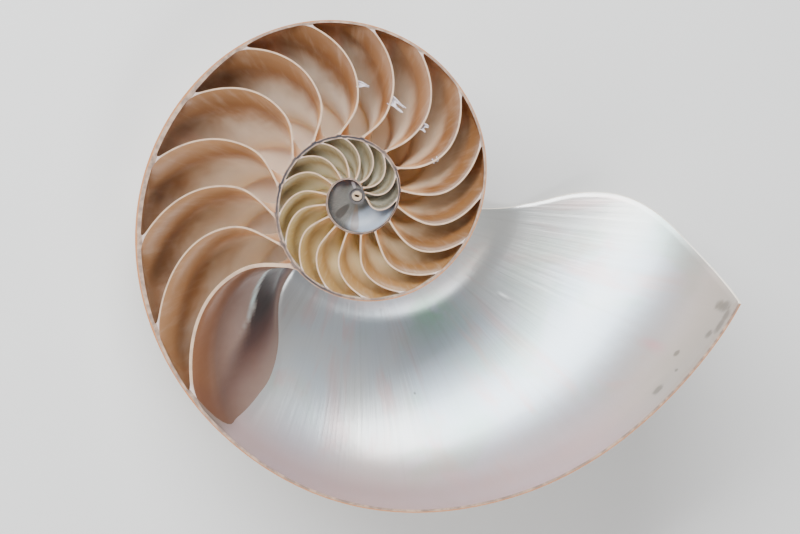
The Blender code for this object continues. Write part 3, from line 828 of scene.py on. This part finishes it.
# sawn edges: lilac nacre inside, a thin orange line outside, a dark film round the inner whorls
def cutMaterial():
    m = Nodes("cut")
    growth, across, deep = m.attribute("place")
    index, strip, flag = m.attribute("tone")
    place = m.objectPlace()
    degrees = m.times(growth, 360.0)
    isBand = m.minus(1.0, m.step(index, -3.9, -3.1))
    grain = m.noise(place, 500.0, 3.0)
    nacre = m.mix(m.step(grain, 0.35, 0.7), tint(*cutLook["lilac"]), tint(*cutLook["pinkish"]))
    buried = m.minus(1.0, m.step(degrees, 596.0, 660.0))
    outer = m.times(m.step(across, 0.6, 0.8), m.minus(1.0, m.times(buried, 0.8)))
    color = m.mix(outer, nacre, tint(*cutLook["orange"]))
    patch = m.step(m.noise(place, 30.0, 2.0), 0.25, 0.5)
    film = m.times(buried, m.minus(m.step(across, 0.2, 0.36), m.step(across, 0.74, 0.9)))
    film = m.times(film, m.plus(0.45, m.times(patch, 0.55)))
    color = m.mix(m.times(film, 0.95), color, tint(*cutLook["film"]))
    edge = m.mix(m.step(grain, 0.35, 0.7), tint(*cutLook["cream"]), tint(*cutLook["pinkish"]))
    edge = m.mix(m.times(m.step(across, 0.94, 0.99), 0.7), edge, tint(*cutLook["knot"]))
    color = m.mix(isBand, edge, color)
    # the nucleus: an uneven cream ring round a slit painted black as shade in its pit, blue grey round about
    isCore = m.minus(1.0, m.step(index, -4.9, -4.6))
    uneven = m.plus(across, m.times(m.noise(place, 900.0, 2.0), 0.5))
    ring = m.mix(m.step(uneven, 1.45, 1.75), tint(*cutLook["core"]), tint(*cutLook["coreEdge"]))
    ring = m.mix(flag, ring, tint(*cutLook["pitPaintedShade"]))
    color = m.mix(isCore, color, ring)
    m.relief(grain, 0.2, 0.0002)
    return m.finish(color, 0.46, 0.25, 0.0)


outsideLook = {
    "cream": (238, 228, 212), "white": (246, 242, 234), "rust": (150, 74, 38), "dark": (112, 50, 28),
    "callus": (232, 226, 222), "lines": (214, 198, 178),
}


# outside: cream porcelain, rust flames across the older half of the last whorl, callus at the navel
def outsideMaterial():
    m = Nodes("outside")
    growth, across, deep = m.attribute("place")
    index, strip, flag = m.attribute("tone")
    place = m.objectPlace()
    degrees = m.times(growth, 360.0)
    wander = m.noise(place, 26.0, 3.0, 0.6, 0.5)
    cloud = m.noise(place, 60.0, 3.0)
    base = m.mix(m.step(cloud, 0.35, 0.65), tint(*outsideLook["cream"]), tint(*outsideLook["white"]))
    fine = m.noise(m.vector(m.times(growth, 300.0), deep, 0.0), 1.0, 3.0)
    base = m.mix(m.times(m.step(fine, 0.5, 0.75), 0.5), base, tint(*outsideLook["lines"]))
    # flames: bands across the whorl that wander, fork and end towards the flank
    bent = m.plus(m.times(degrees, 1.0 / 15.0), m.times(wander, 3.2))
    wave = m.math("SINE", m.times(bent, 2.0 * math.pi))
    thin = m.plus(-0.25, m.times(deep, 1.1))
    flame = m.step(m.minus(wave, thin), 0.0, 0.3)
    young = m.minus(1.0, m.step(m.plus(degrees, m.times(wander, 60.0)), 915.0, 965.0))
    reach = m.minus(1.0, m.step(m.plus(deep, m.times(wander, 0.3)), 0.62, 0.9))
    share = m.times(flame, m.times(young, reach))
    rust = m.mix(m.step(cloud, 0.35, 0.65), tint(*outsideLook["dark"]), tint(*outsideLook["rust"]))
    color = m.mix(m.times(share, 0.92), base, rust)
    color = m.mix(m.step(deep, 0.86, 0.98), color, tint(*outsideLook["callus"]))
    m.relief(m.plus(fine, m.times(cloud, 0.3)), 0.15, 0.0005)
    return m.finish(color, m.plus(0.3, m.times(cloud, 0.12)), 0.5, 0.1)


# torn ends of the tube that ran through the septa: place on the cut face in mm, direction in
# degrees, length, half width at the septum and at the torn end, and how ragged that end is
tubeEnds = [
    (0.4, 30.6, -13.0, 2.8, 0.9, 0.35, 0.2), (9.3, 26.1, -37.0, 3.9, 1.25, 1.0, 0.55),
    (17.7, 19.2, -32.0, 1.6, 1.3, 1.05, 0.35), (21.3, 10.1, -62.0, 0.9, 0.9, 0.75, 0.2),
]
tubeLook = {"around": 28, "along": 22, "skin": 0.2, "sunk": 0.4, "thinnest": 0.05, "belowCut": 0.02,
            "white": (226, 218, 222), "violet": (178, 164, 176)}


# half a tube, open upwards: a band with an outer and an inner arc, its far end ragged
def addTube(skin, x, y, turn, length, wide, narrow, ragged, number):
    v = np.linspace(math.pi, 2.0 * math.pi, tubeLook["around"] + 1)[:, None]
    w = np.linspace(0.0, 1.0, tubeLook["along"] + 1)[None, :]
    tear = 0.7 * np.cos(3.0 * v + number) + 0.15 * np.sin(9.0 * v + 2.0 * number)
    forward = -tubeLook["sunk"] + (length + tubeLook["sunk"]) * w * (1.0 + ragged * (tear - 0.4))
    radius = wide + (narrow - wide) * w + 0.14 * np.sin(5.0 * w + number + 2.0 * v)
    arcs = []
    for inside in (0.0, tubeLook["skin"]):
        size = np.maximum(radius - inside, tubeLook["thinnest"])
        side, height = size * np.cos(v), size * np.sin(v) + 0.12 * np.sin(3.0 * v) * w
        angle = math.radians(turn)
        arcs.append(np.stack([x + forward * math.cos(angle) - side * math.sin(angle),
                              y + forward * math.sin(angle) + side * math.cos(angle),
                              np.minimum(height, -tubeLook["belowCut"])], axis=-1))
    outer, inner = arcs
    for sheet in (outer, inner, np.stack([outer[0], inner[0]]), np.stack([outer[-1], inner[-1]]),
                  np.stack([outer[:, 0], inner[:, 0]]), np.stack([outer[:, -1], inner[:, -1]])):
        skin.addSheet(sheet, np.zeros(3), np.zeros(3), "outside")


def tubeMaterial():
    m = Nodes("tube")
    place = m.objectPlace()
    cloud = m.noise(place, 700.0, 3.0, 0.6, 0.5)
    color = m.mix(m.step(cloud, 0.4, 0.7), tint(*tubeLook["white"]), tint(*tubeLook["violet"]))
    m.relief(cloud, 0.3, 0.0003)
    return m.finish(color, m.plus(0.35, m.times(cloud, 0.2)), 0.5, 0.0)


def addTubes():
    skin = Skin()
    for number, values in enumerate(tubeEnds):
        addTube(skin, *values, float(number))
    mesh = meshFrom("tubeEnds", skin)
    tubes = bpy.data.objects.new("tubeEnds", mesh)
    bpy.context.scene.collection.objects.link(tubes)
    mesh.materials.append(tubeMaterial())
    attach(tubes, "root")


def main():
    skin = Skin()
    chambers = [addChamber(skin, n) for n in range(len(septa))]
    body = addBody(skin)
    addCutFace(skin, chambers, body)
    mesh = meshFrom("shell", skin)
    shell = bpy.data.objects.new("shell", mesh)
    bpy.context.scene.collection.objects.link(shell)
    for material in (outsideMaterial(), livingMaterial(), chamberMaterial("septum", True),
                     chamberMaterial("chamber", False), cutMaterial()):
        mesh.materials.append(material)
    print("stage materials", len(mesh.materials))
    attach(shell, "root")
    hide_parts("shell_half")


main()
addTubes()

# Floor, light and camera
studio = {"floorSize": 1.6, "floorHeight": -0.0002, "cameraAway": 550.0, "lens": 90.6, "sensor": 36.0,
          "centre": (11.75, -19.4), "worldColor": (0.75, 0.76, 0.78, 1.0), "worldStrength": 0.34}
floorMesh = bpy.data.meshes.new("floor")
half = studio["floorSize"]
floorCorners = [(-half, -half), (half, -half), (half, half), (-half, half)]
floorMesh.from_pydata([(x, y, studio["floorHeight"]) for x, y in floorCorners], [], [(0, 1, 2, 3)])
floor = bpy.data.objects.new("floor", floorMesh)
bpy.context.scene.collection.objects.link(floor)

view = bpy.data.cameras.new("camera")
view.lens = studio["lens"]
view.sensor_width = studio["sensor"]
camera = bpy.data.objects.new("camera", view)
bpy.context.scene.collection.objects.link(camera)
spot = toRow(np.array([[studio["centre"][0], studio["centre"][1], studio["cameraAway"]]]))[0]
camera.matrix_world = Matrix.Translation(Vector(spot)) @ turnMatrix.to_4x4()
bpy.context.scene.camera = camera
print("stage camera", [round(c, 3) for c in spot.tolist()])

# soft lamps that aim at the shell: name, place in metres, size, watts and colour
lamps = [
    ("key", (-0.34, 0.63, 0.62), (1.25, 0.42), 23.5, (0.98, 1.0, 1.0)),
    ("fill", (0.36, -0.56, 0.68), (0.6, 0.4), 5.0, (1.0, 0.99, 0.98)),
    ("side", (-0.82, -0.12, 0.5), (0.7, 0.5), 3.5, (1.0, 0.98, 0.96)),
]


def addLight(name, place, size, power, color):
    data = bpy.data.lights.new(name, "AREA")
    data.shape = "RECTANGLE"
    data.size, data.size_y = size
    data.energy = power
    data.color = color
    lamp = bpy.data.objects.new(name, data)
    bpy.context.scene.collection.objects.link(lamp)
    lamp.location = place
    lamp.rotation_euler = (-Vector(place)).to_track_quat("-Z", "Y").to_euler()


for values in lamps:
    addLight(*values)
print("stage lamps", len(lamps))
world = bpy.data.worlds.new("studio")
bpy.context.scene.world = world
world.use_nodes = True
world.node_tree.nodes["Background"].inputs["Color"].default_value = studio["worldColor"]
world.node_tree.nodes["Background"].inputs["Strength"].default_value = studio["worldStrength"]
